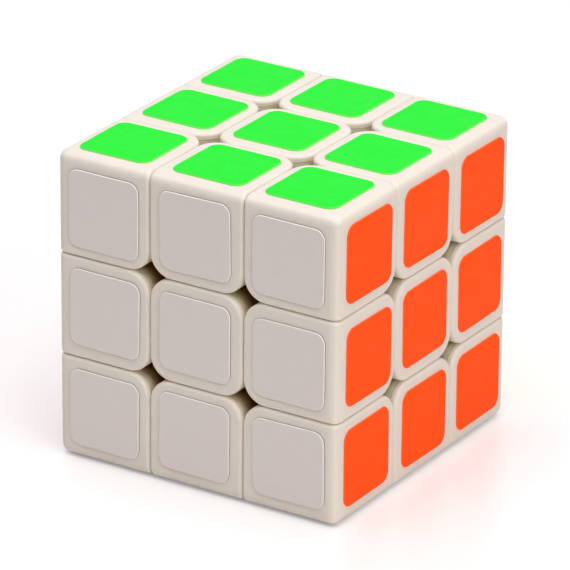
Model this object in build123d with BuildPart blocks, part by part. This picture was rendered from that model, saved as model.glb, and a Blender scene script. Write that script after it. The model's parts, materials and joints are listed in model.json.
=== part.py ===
"""Twisty puzzle cube, 3 x 3 x 3, as an assembly of separate pieces. Millimetres, +Z up.

The six centres turn on a fixed core, each on a spring-loaded screw. Edges and corners are held only
by their feet: an edge's foot reaches under its two centres, a corner's foot under its three edges.
Each cubie is an inner half, which carries the foot or the stem, and a cover that plugs into it.
The pieces meet on planes and on two spheres about the cube's centre, which are surfaces of
revolution about all three axes, so every layer can turn.

Each master piece is modelled about the cube's own centre and then placed on every side.
"""
import os
import random

from build123d import *

# Cubies
CUBIE = 19.0              # pitch of the cubies
GAP = 0.14                # between the flanks of two neighbouring cubies
HOLE_ROUNDING = 4.3       # of the flanks where four cubies meet and leave a hole
OUTER_ROUNDING = 1.8      # of the cube's own edges and corners
LIP_ROUNDING = 0.65       # of a cubie's edge along a gap
WALL = 1.2                # of the hollow cubies
SEAM = 0.14               # shadow line between a cubie's cover and its inner half
RIM_DEPTH = 1.5           # how far a cover's rim reaches into the inner half
RIM_WALL = 0.9
RIM_PLAY = 0.1            # between the rim and the walls that it plugs into

# Mechanism
SHELL_SPHERE = 21.0       # radius of the sphere between the cubies and the feet under them
FOOT_SPHERE = 16.5        # radius of the sphere between the feet and the core
FOOT_SLICE = 6.0          # half width of the middle slice between the feet
CORNER_NECK_R = 4.6       # radius of the neck that joins a corner to its foot

# Core and the tension screws
CORE_BODY_R = 8.0
CORE_ARM_R = 4.3
CORE_ARM_TOP = 12.0       # distance from the cube's centre to an arm's end
SCREW_R = 1.4
SCREW_TIP = 5.0           # distance from the cube's centre to the screw's tip
SCREW_SEAT = 20.4         # the same, to the underside of the screw's flange
SCREW_FLANGE_R, SCREW_FLANGE_T = 3.4, 0.6
SCREW_HEAD_R, SCREW_HEAD_T = 2.7, 1.7
RECESS_SPAN, RECESS_WIDTH, RECESS_DEPTH = 3.6, 0.8, 1.1
SPRING_R = 2.5            # to the middle of the wire
SPRING_WIRE_R = 0.3
SPRING_TURNS = 5
SPRING_PLAY = 0.08        # at each end of the spring

# Centre base and cap
BARREL_R = 5.8            # stem of a centre, inside the feet's slice
BARREL_FOOT = 12.2        # distance from the cube's centre to the stem's inner end
BARREL_WEB = 2.0          # thickness of the web that the spring presses on
BARREL_TOP = 26.2
WELL_R = 4.0              # bore of the stem, round the spring and the screw's head
SCREW_PLAY = 0.1          # radial, round the screw's shank
CAP_PLUG_LENGTH = 2.8     # of the cap's tube, which plugs into the stem

# Stickers
STICKER = 14.4
STICKER_CORNER_R = 2.0
STICKER_T = 0.3
STICKER_BEVEL = 0.14
STICKER_PITCH = 18.75     # laid a little inwards of the cubies' own pitch
STICKER_SHIFT = 0.22      # most that a sticker is off its place, because they are laid by hand
STICKER_TWIST = 0.9       # most that it is turned, in degrees
STICKER_SEED = 11

# Worked out from the above
HALF = 1.5 * CUBIE
PLAY = GAP / 2
INNER = CUBIE / 2 + PLAY          # inner flank of an outer cubie
MIDDLE = CUBIE / 2 - PLAY         # flank of a cubie in a middle slice
SEAT = HALF - WALL                # underside of the covers
CENTRE = Vector(0, 0, HALF + STICKER_T)

FACES = {
    "top": Vector(0, 0, 1), "bottom": Vector(0, 0, -1),
    "front": Vector(0, -1, 0), "back": Vector(0, 1, 0),
    "right": Vector(1, 0, 0), "left": Vector(-1, 0, 0),
}
SIDES = ["front", "right", "back", "left"]
LAYERS = {"upper": 1, "middle": 0, "lower": -1}


def touches(edge, *values):
    """How many of the coordinates of the edge's middle are, without their sign, one of the values."""
    return sum(any(abs(abs(c) - value) < 0.01 for value in values) for c in edge.center())


def rounded_block(low, high, hole_rounding, outer_rounding=0.0, lip_rounding=0.0):
    """A cubie's form between two corners, rounded along holes, outer edges and gaps in that order."""
    low, high = Vector(*low), Vector(*high)
    size = high - low
    outside = max(high)
    with BuildPart() as block:
        with Locations((low + high) * 0.5):
            Box(size.X, size.Y, size.Z)
        fillet([e for e in block.edges() if touches(e, outside) == 0], hole_rounding)
        crests = [e for e in block.edges().filter_by(GeomType.LINE) if touches(e, outside) == 2]
        if outer_rounding and crests:
            fillet(crests, outer_rounding)
        if lip_rounding:
            lips = [e for e in block.edges().filter_by(GeomType.LINE)
                    if touches(e, outside) == 1 and touches(e, INNER, MIDDLE) == 1]
            fillet(lips, lip_rounding)
    return block.part


def hollow(low, high):
    """The space inside a cubie's walls, which stays clear of the spherical underside."""
    with BuildPart() as space:
        add(rounded_block(low, high, HOLE_ROUNDING - WALL))
        Sphere(SHELL_SPHERE + PLAY + WALL, mode=Mode.SUBTRACT)
    return space.part


def rim(low, high):
    """The rim inside a cover that plugs into the space between those corners of the inner half."""
    low, high = Vector(*low), Vector(*high)
    play = Vector(RIM_PLAY, RIM_PLAY, RIM_PLAY)
    wall = Vector(RIM_WALL, RIM_WALL, RIM_WALL)
    top = Vector(*(end - RIM_PLAY if start < 0 else end for start, end in zip(low, high)))
    clear = Vector(*(end - RIM_WALL if start < 0 else end for start, end in zip(low, top)))
    below = Vector(*(end if start < 0 else end - RIM_DEPTH for start, end in zip(low, high)))
    with BuildPart() as ring:
        add(rounded_block(low + play, top, HOLE_ROUNDING - WALL - RIM_PLAY))
        with Locations((low + play + wall + clear) * 0.5):
            Box(*(clear - low - play - wall), mode=Mode.SUBTRACT)
        with Locations((low + below) * 0.5):
            Box(*(below - low), mode=Mode.SUBTRACT)
    return ring.part


def foot(low, high, neck_low, neck_high, neck_r=None):
    """A foot between the two spheres, and the neck above it that reaches the cubie's underside."""
    with BuildPart() as block:
        with Locations((Vector(*low) + Vector(*high)) * 0.5):
            Box(*(Vector(*high) - Vector(*low)))
        Sphere(SHELL_SPHERE - PLAY, mode=Mode.INTERSECT)
    with BuildPart() as neck:
        with Locations((Vector(*neck_low) + Vector(*neck_high)) * 0.5):
            Box(*(Vector(*neck_high) - Vector(*neck_low)))
        if neck_r:
            with Locations(Plane(origin=(0, 0, 0), z_dir=neck_high).location):
                Cylinder(neck_r, 2 * HALF, mode=Mode.INTERSECT)
        Sphere(SHELL_SPHERE + PLAY + WALL, mode=Mode.INTERSECT)
    with BuildPart() as whole:
        add(block.part)
        add(neck.part)
        Sphere(FOOT_SPHERE + PLAY, mode=Mode.SUBTRACT)
    return whole.part


# Corner: its three outer faces look along +X, +Y and +Z
corner_low, corner_high = (INNER,) * 3, (HALF,) * 3
corner_foot_low = (FOOT_SLICE + PLAY,) * 3

with BuildPart() as corner_cubie:
    add(rounded_block(corner_low, corner_high, HOLE_ROUNDING, OUTER_ROUNDING, LIP_ROUNDING))
    Sphere(SHELL_SPHERE + PLAY, mode=Mode.SUBTRACT)
    add(hollow((INNER + WALL,) * 3, (SEAT,) * 3), mode=Mode.SUBTRACT)

with BuildPart() as corner_shell:
    add(corner_cubie.part)
    Box(SEAT, SEAT, SEAT, align=(Align.MIN,) * 3, mode=Mode.SUBTRACT)
    add(rim((INNER + WALL,) * 3, (SEAT,) * 3))

with BuildPart() as corner_foot:
    add(corner_cubie.part)
    Box(SEAT - SEAM, SEAT - SEAM, SEAT - SEAM, align=(Align.MIN,) * 3, mode=Mode.INTERSECT)
    add(foot(corner_foot_low, corner_high, corner_low, corner_high, CORNER_NECK_R))

# Edge: its two outer faces look along +Y and +Z
edge_low, edge_high = (-MIDDLE, INNER, INNER), (MIDDLE, HALF, HALF)
edge_space = (-MIDDLE + WALL, INNER + WALL, INNER + WALL), (MIDDLE - WALL, SEAT, SEAT)
edge_align = (Align.CENTER, Align.MIN, Align.MIN)
slice_half = FOOT_SLICE - PLAY

with BuildPart() as edge_cubie:
    add(rounded_block(edge_low, edge_high, HOLE_ROUNDING, OUTER_ROUNDING, LIP_ROUNDING))
    Sphere(SHELL_SPHERE + PLAY, mode=Mode.SUBTRACT)
    add(hollow(*edge_space), mode=Mode.SUBTRACT)

with BuildPart() as edge_shell:
    add(edge_cubie.part)
    Box(CUBIE, SEAT, SEAT, align=edge_align, mode=Mode.SUBTRACT)
    add(rim(*edge_space))

with BuildPart() as edge_foot:
    add(edge_cubie.part)
    Box(CUBIE, SEAT - SEAM, SEAT - SEAM, align=edge_align, mode=Mode.INTERSECT)
    add(foot((-slice_half, FOOT_SLICE + PLAY, FOOT_SLICE + PLAY), (slice_half, HALF, HALF),
             (-slice_half, INNER, INNER), (slice_half, HALF, HALF)))

# Centre, looking along +Z: a cup with a stem on the screw, and a cap that snaps into both
centre_low, centre_high = (-MIDDLE, -MIDDLE, INNER), (MIDDLE, MIDDLE, HALF)
cup = MIDDLE - WALL                # half width inside the cup's walls

with BuildPart() as centre_base:
    add(rounded_block(centre_low, centre_high, HOLE_ROUNDING))
    split(bisect_by=Plane.XY.offset(SEAT - SEAM), keep=Keep.BOTTOM)
    Sphere(SHELL_SPHERE + PLAY, mode=Mode.SUBTRACT)
    add(hollow((-cup, -cup, INNER + WALL), (cup, cup, HALF + WALL)), mode=Mode.SUBTRACT)
    with Locations((0, 0, BARREL_FOOT)):
        Cylinder(BARREL_R, BARREL_TOP - BARREL_FOOT, align=(Align.CENTER, Align.CENTER, Align.MIN))
    with Locations((0, 0, BARREL_TOP)):
        CounterBoreHole(SCREW_R + SCREW_PLAY, WELL_R, BARREL_TOP - BARREL_FOOT - BARREL_WEB,
                        BARREL_TOP - BARREL_FOOT)

with BuildPart() as centre_cap:
    add(rounded_block(centre_low, centre_high, HOLE_ROUNDING, 0.0, LIP_ROUNDING))
    split(bisect_by=Plane.XY.offset(SEAT), keep=Keep.TOP)
    with BuildSketch(Plane.XY.offset(SEAT)):
        Circle(WELL_R - RIM_PLAY)
        Circle(WELL_R - RIM_PLAY - RIM_WALL, mode=Mode.SUBTRACT)
    extrude(amount=-CAP_PLUG_LENGTH)
    with BuildSketch(Plane.XY.offset(SEAT)):
        RectangleRounded(2 * (cup - RIM_PLAY), 2 * (cup - RIM_PLAY), HOLE_ROUNDING - WALL - RIM_PLAY)
        offset(amount=-RIM_WALL, mode=Mode.SUBTRACT)
    extrude(amount=-RIM_DEPTH)

# Core: a ball with six arms, bored for the screws
with BuildPart() as core:
    Sphere(CORE_BODY_R)
    for normal in FACES.values():
        with Locations(Plane(origin=(0, 0, 0), z_dir=normal).location):
            Cylinder(CORE_ARM_R, CORE_ARM_TOP, align=(Align.CENTER, Align.CENTER, Align.MIN))
    for normal in FACES.values():
        with Locations(Plane(origin=normal * CORE_ARM_TOP, z_dir=normal).location):
            Hole(SCREW_R, CORE_ARM_TOP - SCREW_TIP)

# Tension screw, head outwards along +Z
with BuildPart() as screw:
    with BuildSketch(Plane.XZ):
        with BuildLine():
            FilletPolyline((0, SCREW_SEAT + SCREW_FLANGE_T + SCREW_HEAD_T),
                           (SCREW_HEAD_R, SCREW_SEAT + SCREW_FLANGE_T + SCREW_HEAD_T),
                           (SCREW_HEAD_R, SCREW_SEAT + SCREW_FLANGE_T), radius=SCREW_HEAD_T / 2)
            Polyline((SCREW_HEAD_R, SCREW_SEAT + SCREW_FLANGE_T),
                     (SCREW_FLANGE_R, SCREW_SEAT + SCREW_FLANGE_T), (SCREW_FLANGE_R, SCREW_SEAT),
                     (SCREW_R, SCREW_SEAT), (SCREW_R, SCREW_TIP), (0, SCREW_TIP),
                     (0, SCREW_SEAT + SCREW_FLANGE_T + SCREW_HEAD_T))
        make_face()
    revolve(axis=Axis.Z)
    with BuildSketch(Plane.XY.offset(SCREW_SEAT + SCREW_FLANGE_T + SCREW_HEAD_T)):
        Rectangle(RECESS_SPAN, RECESS_WIDTH)
        Rectangle(RECESS_WIDTH, RECESS_SPAN)
    extrude(amount=-RECESS_DEPTH, mode=Mode.SUBTRACT)

# Tension spring, between the stem's web and the screw's flange
spring_low = BARREL_FOOT + BARREL_WEB + SPRING_WIRE_R + SPRING_PLAY
spring_height = SCREW_SEAT - SPRING_WIRE_R - SPRING_PLAY - spring_low
with BuildPart() as spring:
    with BuildLine() as coil:
        Helix(pitch=spring_height / SPRING_TURNS, height=spring_height, radius=SPRING_R,
              center=(0, 0, spring_low))
    with BuildSketch(Plane(origin=coil.line @ 0, z_dir=coil.line % 0)):
        Circle(SPRING_WIRE_R)
    sweep(is_frenet=True)

# Sticker, lying on the plane z = 0
with BuildPart() as sticker:
    with BuildSketch():
        RectangleRounded(STICKER, STICKER, STICKER_CORNER_R)
    extrude(amount=STICKER_T)
    chamfer(sticker.faces().sort_by(Axis.Z)[-1].edges(), STICKER_BEVEL)


def face_frame(face):
    """The frame of one side about the cube's centre: Z outwards and, on the four sides, Y upwards."""
    normal = FACES[face]
    x_dir = Vector(1, 0, 0) if abs(normal.Z) > 0.5 else Vector(0, 0, 1).cross(normal)
    return Plane(origin=CENTRE, x_dir=x_dir, z_dir=normal)


def edge_frame(first, second):
    """The frame that turns the master edge's +Z and +Y faces to two named sides."""
    return Plane(origin=CENTRE, x_dir=FACES[second].cross(FACES[first]), z_dir=FACES[first])


def corner_frame(level, first, second):
    """The frame that turns the master corner's +Z face to the level and the others to two sides."""
    x_face, y_face = first, second
    if (FACES[level].cross(FACES[first]) - FACES[second]).length > 0.5:
        x_face, y_face = second, first
    return Plane(origin=CENTRE, x_dir=FACES[x_face], z_dir=FACES[level])


def sticker_frame(face, column, row):
    """Where one sticker lies: column and row are -1, 0 or 1 from the middle of the side."""
    laid = random.Random(f"{STICKER_SEED} {face} {column} {row}")
    x = column * STICKER_PITCH + laid.uniform(-STICKER_SHIFT, STICKER_SHIFT)
    y = row * STICKER_PITCH + laid.uniform(-STICKER_SHIFT, STICKER_SHIFT)
    twist = laid.uniform(-STICKER_TWIST, STICKER_TWIST)
    return Plane(face_frame(face).location * Location((x, y, HALF), (0, 0, twist)))


def place(name, master, frames):
    """Write one node: the master piece at each of the frames."""
    with BuildPart() as node:
        for frame in frames:
            with Locations(frame.location):
                add(master.part)
    node.part.label = name
    export_step(node.part, f"parts/{name}.step")


os.makedirs("parts", exist_ok=True)

side_pairs = [(side, SIDES[(i + 1) % 4]) for i, side in enumerate(SIDES)]
corner_frames = {(level, *pair): corner_frame(level, *pair)
                 for level in ("top", "bottom") for pair in side_pairs}
edge_frames = {(level, side): edge_frame(level, side) for level in ("top", "bottom") for side in SIDES}
edge_frames |= {pair: edge_frame(*pair) for pair in side_pairs}

place("core", core, [Plane(CENTRE)])
place("tension_screws", screw, [face_frame(face) for face in FACES])
place("tension_springs", spring, [face_frame(face) for face in FACES])

for face in FACES:
    place(f"centre_base_{face}", centre_base, [face_frame(face)])
    place(f"centre_cap_{face}", centre_cap, [face_frame(face)])
    place(f"centre_sticker_{face}", sticker, [sticker_frame(face, 0, 0)])

for sides, frame in corner_frames.items():
    place("corner_shell_" + "_".join(sides), corner_shell, [frame])
for level in ("top", "bottom"):
    feet = [frame for sides, frame in corner_frames.items() if sides[0] == level]
    place(f"corner_feet_{level}", corner_foot, feet)

for sides, frame in edge_frames.items():
    place("edge_shell_" + "_".join(sides), edge_shell, [frame])
for level in ("top", "bottom"):
    feet = [frame for sides, frame in edge_frames.items() if sides[0] == level]
    place(f"edge_feet_{level}", edge_foot, feet)
place("edge_feet_middle", edge_foot, [edge_frames[pair] for pair in side_pairs])

for face in ("top", "bottom"):
    around = [(column, row) for column in (-1, 0, 1) for row in (-1, 0, 1) if (column, row) != (0, 0)]
    place(f"stickers_{face}", sticker, [sticker_frame(face, *spot) for spot in around])
for face in SIDES:
    for layer, row in LAYERS.items():
        columns = (-1, 1) if row == 0 else (-1, 0, 1)
        place(f"stickers_{face}_{layer}", sticker, [sticker_frame(face, column, row) for column in columns])
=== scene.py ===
"""Looks for the twisty puzzle cube: materials, floor, studio light and camera, in metres."""
import json
from math import cos, radians, sin

import bpy
from mathutils import Matrix, Vector


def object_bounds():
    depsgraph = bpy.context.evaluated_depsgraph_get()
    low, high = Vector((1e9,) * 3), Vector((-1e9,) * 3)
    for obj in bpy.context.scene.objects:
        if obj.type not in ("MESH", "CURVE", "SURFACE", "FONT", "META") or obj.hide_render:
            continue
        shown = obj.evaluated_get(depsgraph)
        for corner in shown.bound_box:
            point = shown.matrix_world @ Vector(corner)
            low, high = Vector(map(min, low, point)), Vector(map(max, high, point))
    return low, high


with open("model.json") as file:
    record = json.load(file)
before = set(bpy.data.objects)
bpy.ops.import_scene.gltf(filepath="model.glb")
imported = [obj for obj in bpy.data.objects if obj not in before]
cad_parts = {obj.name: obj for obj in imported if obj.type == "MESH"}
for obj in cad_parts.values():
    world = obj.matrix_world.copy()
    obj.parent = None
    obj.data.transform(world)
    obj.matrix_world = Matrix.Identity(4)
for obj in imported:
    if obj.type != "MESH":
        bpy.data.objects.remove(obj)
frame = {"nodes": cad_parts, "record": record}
cad_low, cad_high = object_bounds()
centre = (cad_low + cad_high) / 2
MM = 0.001

# Camera, about the cube's centre
AZIMUTH, ELEVATION, ROLL = radians(32.08), radians(23.2), radians(0.48)
DISTANCE = 0.955
AIM_RIGHT, AIM_UP = 0.00009, -0.000235
FOCAL_LENGTH, SENSOR = 345.4, 36

# Depths, each under the faces of the nearest side's stickers
HALF = (cad_high.x - cad_low.x) / 2      # from the cube's centre to a side
STICKER_BEVEL = 0.14 * MM
INK_END = 0.05 * STICKER_BEVEL           # where the printed ink starts to give way to the cut edge's painted highlight
EDGE_START = 0.4 * STICKER_BEVEL         # where the cut edge's painted highlight is full
WALL_START = 1.3 * STICKER_BEVEL         # where the painted light and shade on the sticker's upright side is full
SKIN_DEPTH = 0.5 * MM                    # from where the flanks' painted light and shade sets in
FLANK_DEPTH = 1.4 * MM                   # where it is full
HOLE_DEPTH = 4.7 * MM                    # where the painted shade down a hole is darkest

RAMP_ENDS = 0.3, 0.7                     # the stretch of a noise's values that a ramp spreads


def new_material(name):
    """An empty node material with its Principled shader: (material, nodes, link, shader)."""
    material = bpy.data.materials.new(name)
    material.use_nodes = True
    tree = material.node_tree
    return material, tree.nodes, tree.links.new, tree.nodes["Principled BSDF"]


def noise(nodes, link, coordinates, scale, detail=3.0, roughness=0.5):
    """A noise texture in the piece's own coordinates, scale in cells per metre."""
    texture = nodes.new("ShaderNodeTexNoise")
    texture.inputs["Scale"].default_value = scale
    texture.inputs["Detail"].default_value = detail
    texture.inputs["Roughness"].default_value = roughness
    link(coordinates, texture.inputs["Vector"])
    return texture.outputs["Fac"]


def ramp(nodes, link, factor, low, high):
    """The factor, spread over two colours or two greys."""
    mix = nodes.new("ShaderNodeValToRGB")
    for element, value, position in zip(mix.color_ramp.elements, (low, high), RAMP_ENDS):
        element.color = (*value, 1) if isinstance(value, tuple) else (value, value, value, 1)
        element.position = position
    link(factor, mix.inputs["Fac"])
    return mix.outputs["Color"]


def bump(nodes, link, height, distance, strength, below=None):
    """Relief of that height in metres, over another relief's normal if one is given."""
    node = nodes.new("ShaderNodeBump")
    node.inputs["Strength"].default_value = strength
    node.inputs["Distance"].default_value = distance
    link(height, node.inputs["Height"])
    if below is not None:
        link(below, node.inputs["Normal"])
    return node.outputs["Normal"]


def blend(nodes, link, factor, first, second):
    """Two colours, each a socket or a plain value, mixed by the factor."""
    mix = nodes.new("ShaderNodeMix")
    mix.data_type = "RGBA"
    link(factor, mix.inputs["Factor"])
    for name, colour in (("A", first), ("B", second)):
        if isinstance(colour, tuple):
            mix.inputs[name].default_value = (*colour, 1)
        else:
            link(colour, mix.inputs[name])
    return mix.outputs["Result"]


def depth(nodes, link, coordinates, start, end):
    """How deep a point lies under the nearest side of the cube: 0 down to start and 1 from end on."""
    from_centre = nodes.new("ShaderNodeVectorMath")
    from_centre.operation = "SUBTRACT"
    from_centre.inputs[1].default_value = centre
    link(coordinates, from_centre.inputs[0])
    unsigned = nodes.new("ShaderNodeVectorMath")
    unsigned.operation = "ABSOLUTE"
    link(from_centre.outputs["Vector"], unsigned.inputs[0])
    axes = nodes.new("ShaderNodeSeparateXYZ")
    link(unsigned.outputs["Vector"], axes.inputs["Vector"])
    reach = axes.outputs["X"]
    for axis in "YZ":
        larger = nodes.new("ShaderNodeMath")
        larger.operation = "MAXIMUM"
        link(reach, larger.inputs[0])
        link(axes.outputs[axis], larger.inputs[1])
        reach = larger.outputs["Value"]
    spread = nodes.new("ShaderNodeMapRange")
    spread.inputs["From Min"].default_value = HALF - start
    spread.inputs["From Max"].default_value = HALF - end
    link(reach, spread.inputs["Value"])
    return spread.outputs["Result"]


def moulded_plastic(name, pale, deep, painted_light_flank, painted_shade_flank):
    """Satin moulded ABS: faint tone drift, soft translucency, fine grain, with painted light on the holes'
    shallow flanks going over to painted shade deeper down.
    """
    material, nodes, link, shader = new_material(name)
    place = nodes.new("ShaderNodeTexCoord").outputs["Object"]
    skin = ramp(nodes, link, noise(nodes, link, place, scale=90, detail=4), deep, pale)
    # Painted light on the shallow flanks in the holes, going over to painted shade deeper down; the skin
    # keeps its own tone
    hole_shade = depth(nodes, link, place, FLANK_DEPTH, HOLE_DEPTH)
    flank = blend(nodes, link, hole_shade, painted_light_flank, painted_shade_flank)
    inside = depth(nodes, link, place, SKIN_DEPTH, FLANK_DEPTH)
    link(blend(nodes, link, inside, skin, flank), shader.inputs["Base Color"])
    sheen = noise(nodes, link, place, scale=420, detail=3)
    link(ramp(nodes, link, sheen, low=0.40, high=0.50), shader.inputs["Roughness"])
    waves = noise(nodes, link, place, scale=160, detail=2)
    relief = bump(nodes, link, waves, distance=0.05 * MM, strength=0.5)
    grain = noise(nodes, link, place, scale=6500, detail=2)
    relief = bump(nodes, link, grain, distance=0.006 * MM, strength=0.6, below=relief)
    link(relief, shader.inputs["Normal"])
    shader.inputs["IOR"].default_value = 1.38
    shader.inputs["Subsurface Weight"].default_value = 0.15
    shader.inputs["Subsurface Radius"].default_value = (1.0, 0.8, 0.55)
    shader.inputs["Subsurface Scale"].default_value = 1.0 * MM
    return material


def vinyl_film(name, colour, deep, edge_highlight, side_light_and_shade, painted_glow=0.0):
    """Printed vinyl film, with a painted highlight on its bevelled cut edge and painted light and shade on
    its upright side.
    """
    material, nodes, link, shader = new_material(name)
    place = nodes.new("ShaderNodeTexCoord").outputs["Object"]
    ink = ramp(nodes, link, noise(nodes, link, place, scale=700, detail=5, roughness=0.6), deep, colour)
    # Painted highlight on the cut edge. The upright side has painted shade on the grey, blue, yellow and
    # red stickers and a paler painted sheen on the green and orange
    edge = blend(nodes, link, depth(nodes, link, place, STICKER_BEVEL, WALL_START), edge_highlight, side_light_and_shade)
    rim = depth(nodes, link, place, INK_END, EDGE_START)
    link(blend(nodes, link, rim, ink, edge), shader.inputs["Base Color"])
    sheen = noise(nodes, link, place, scale=300, detail=3)
    link(ramp(nodes, link, sheen, low=0.34, high=0.46), shader.inputs["Roughness"])
    peel = noise(nodes, link, place, scale=1100, detail=2)
    link(bump(nodes, link, peel, distance=0.012 * MM, strength=0.5), shader.inputs["Normal"])
    shader.inputs["Specular IOR Level"].default_value = 0.05
    # Emission as painted light: the film gives off light in its own colour, standing in for the
    # fluorescent ink's brightness
    if painted_glow:
        shader.inputs["Emission Color"].default_value = (*colour, 1)
        shader.inputs["Emission Strength"].default_value = painted_glow
    return material


def plated_steel(name, pale, deep, rough, smooth):
    """Zinc-plated or drawn steel: cloudy plating and fine drawing marks."""
    material, nodes, link, shader = new_material(name)
    place = nodes.new("ShaderNodeTexCoord").outputs["Object"]
    plating = noise(nodes, link, place, scale=1500, detail=4)
    link(ramp(nodes, link, plating, deep, pale), shader.inputs["Base Color"])
    sheen = noise(nodes, link, place, scale=2600, detail=3)
    link(ramp(nodes, link, sheen, smooth, rough), shader.inputs["Roughness"])
    marks = noise(nodes, link, place, scale=5200, detail=2)
    link(bump(nodes, link, marks, distance=0.008 * MM, strength=0.5), shader.inputs["Normal"])
    shader.inputs["Metallic"].default_value = 1.0
    return material


# The ivory's two flank colours are painted light and painted shade down the holes
materials = {
    "ivory_plastic": moulded_plastic(
        "ivory_plastic", pale=(0.855, 0.785, 0.72), deep=(0.84, 0.77, 0.70),
        painted_light_flank=(1.0, 0.93, 0.74), painted_shade_flank=(0.38, 0.20, 0.035)),
    "screw_steel": plated_steel(
        "screw_steel", pale=(0.66, 0.66, 0.64), deep=(0.50, 0.50, 0.49), rough=0.38, smooth=0.24),
    "spring_steel": plated_steel(
        "spring_steel", pale=(0.56, 0.56, 0.57), deep=(0.42, 0.42, 0.43), rough=0.32, smooth=0.2),
    # Each sticker's cut-edge colour is a painted highlight and its side colour is painted light and shade
    "sticker_green": vinyl_film(
        "sticker_green", colour=(0.017, 0.83, 0.037), deep=(0.015, 0.79, 0.034),
        edge_highlight=(0.16, 0.86, 0.11), side_light_and_shade=(0.26, 0.76, 0.14), painted_glow=0.05),
    "sticker_orange": vinyl_film(
        "sticker_orange", colour=(1.0, 0.083, 0.002), deep=(0.97, 0.075, 0.002),
        edge_highlight=(1.0, 0.12, 0.02), side_light_and_shade=(0.97, 0.16, 0.06), painted_glow=0.16),
    "sticker_grey": vinyl_film(
        "sticker_grey", colour=(0.83, 0.765, 0.755), deep=(0.815, 0.75, 0.74),
        edge_highlight=(0.97, 0.94, 0.92), side_light_and_shade=(0.12, 0.10, 0.085)),
    "sticker_blue": vinyl_film(
        "sticker_blue", colour=(0.012, 0.10, 0.72), deep=(0.010, 0.09, 0.66),
        edge_highlight=(0.20, 0.30, 0.85), side_light_and_shade=(0.01, 0.05, 0.35)),
    "sticker_yellow": vinyl_film(
        "sticker_yellow", colour=(0.95, 0.80, 0.02), deep=(0.92, 0.76, 0.018),
        edge_highlight=(0.98, 0.90, 0.40), side_light_and_shade=(0.50, 0.40, 0.02), painted_glow=0.12),
    "sticker_red": vinyl_film(
        "sticker_red", colour=(0.78, 0.010, 0.018), deep=(0.72, 0.008, 0.015),
        edge_highlight=(0.90, 0.22, 0.22), side_light_and_shade=(0.35, 0.01, 0.01)),
}
for part in frame["record"]["subparts"]:
    mesh = frame["nodes"][part["node"]].data
    mesh.materials.clear()
    mesh.materials.append(materials[part["material_slot"]])


# Stage: floor, studio light and camera
FLOOR_SPAN = 1.4
FLOOR_SHINE = 0.225        # what the overexposed floor shows on top of what it reflects


def floor():
    """A plain pale floor with a soft mirror image of what stands on it."""
    material, nodes, link, shader = new_material("studio_floor")
    place = nodes.new("ShaderNodeTexCoord").outputs["Object"]
    cloud = noise(nodes, link, place, scale=12, detail=2)
    tone = ramp(nodes, link, cloud, low=(0.80, 0.78, 0.75), high=(0.82, 0.80, 0.77))
    link(tone, shader.inputs["Base Color"])
    shader.inputs["Roughness"].default_value = 0.3
    shader.inputs["Emission Color"].default_value = (0.97, 1.0, 1.12, 1)
    shine = nodes.new("ShaderNodeMath")
    shine.operation = "MULTIPLY"
    shine.inputs[1].default_value = FLOOR_SHINE
    link(nodes.new("ShaderNodeLightPath").outputs["Is Camera Ray"], shine.inputs[0])
    link(shine.outputs["Value"], shader.inputs["Emission Strength"])
    shader.inputs["IOR"].default_value = 1.6
    bpy.ops.mesh.primitive_plane_add(size=FLOOR_SPAN, location=(0, 0, 0))
    plane = bpy.context.object
    plane.name = "studio_floor"
    plane.data.materials.append(material)


def softbox(name, direction, distance, size, power, colour):
    """A square area light, that far from the cube and turned to it."""
    light = bpy.data.lights.new(name, "AREA")
    light.size, light.energy, light.color = size, power, colour
    lamp = bpy.data.objects.new(name, light)
    lamp.location = centre + Vector(direction).normalized() * distance
    lamp.rotation_euler = (centre - lamp.location).to_track_quat("-Z", "Y").to_euler()
    bpy.context.scene.collection.objects.link(lamp)


def camera():
    """The camera at the angles, distance and aim given above."""
    away = Vector((sin(AZIMUTH) * cos(ELEVATION), -cos(AZIMUTH) * cos(ELEVATION), sin(ELEVATION)))
    level = Vector((cos(AZIMUTH), sin(AZIMUTH), 0))
    upward = away.cross(level)
    right = level * cos(ROLL) + upward * sin(ROLL)
    up = upward * cos(ROLL) - level * sin(ROLL)
    data = bpy.data.cameras.new("camera")
    data.lens, data.sensor_width = FOCAL_LENGTH, SENSOR
    data.clip_start, data.clip_end = 0.05, 50
    rig = bpy.data.objects.new("camera", data)
    spot = centre + level * AIM_RIGHT + upward * AIM_UP + away * DISTANCE
    rig.matrix_world = Matrix.Translation(spot) @ Matrix((right, up, away)).transposed().to_4x4()
    bpy.context.scene.collection.objects.link(rig)
    bpy.context.scene.camera = rig


def studio_sweep(strength, colour):
    """A white backdrop all round. It lights the cube less than the camera and reflections show it."""
    sweep = bpy.data.worlds.new("studio_sweep")
    sweep.use_nodes = True
    nodes, link = sweep.node_tree.nodes, sweep.node_tree.links.new
    shown, lit = nodes["Background"], nodes.new("ShaderNodeBackground")
    shown.inputs["Color"].default_value = (1, 1, 1, 1)
    lit.inputs["Color"].default_value = (*colour, 1)
    lit.inputs["Strength"].default_value = strength
    mix = nodes.new("ShaderNodeMixShader")
    rays = nodes.new("ShaderNodeLightPath")
    seen = nodes.new("ShaderNodeMath")
    seen.operation = "MAXIMUM"
    link(rays.outputs["Is Camera Ray"], seen.inputs[0])
    link(rays.outputs["Is Glossy Ray"], seen.inputs[1])
    link(seen.outputs["Value"], mix.inputs["Fac"])
    link(lit.outputs["Background"], mix.inputs[1])
    link(shown.outputs["Background"], mix.inputs[2])
    link(mix.outputs["Shader"], nodes["World Output"].inputs["Surface"])
    bpy.context.scene.world = sweep


floor()
studio_sweep(strength=0.05, colour=(1.0, 0.98, 0.95))
softbox("overhead", direction=(0.02, -0.13, 1), distance=1.2, size=1.4, power=18.2,
        colour=(1.0, 0.98, 0.985))
softbox("right_fill", direction=(1, -0.3, 0.5), distance=1.3, size=0.9, power=5.9,
        colour=(1.0, 0.965, 0.935))
camera()
bpy.context.scene.view_settings.view_transform = "Standard"
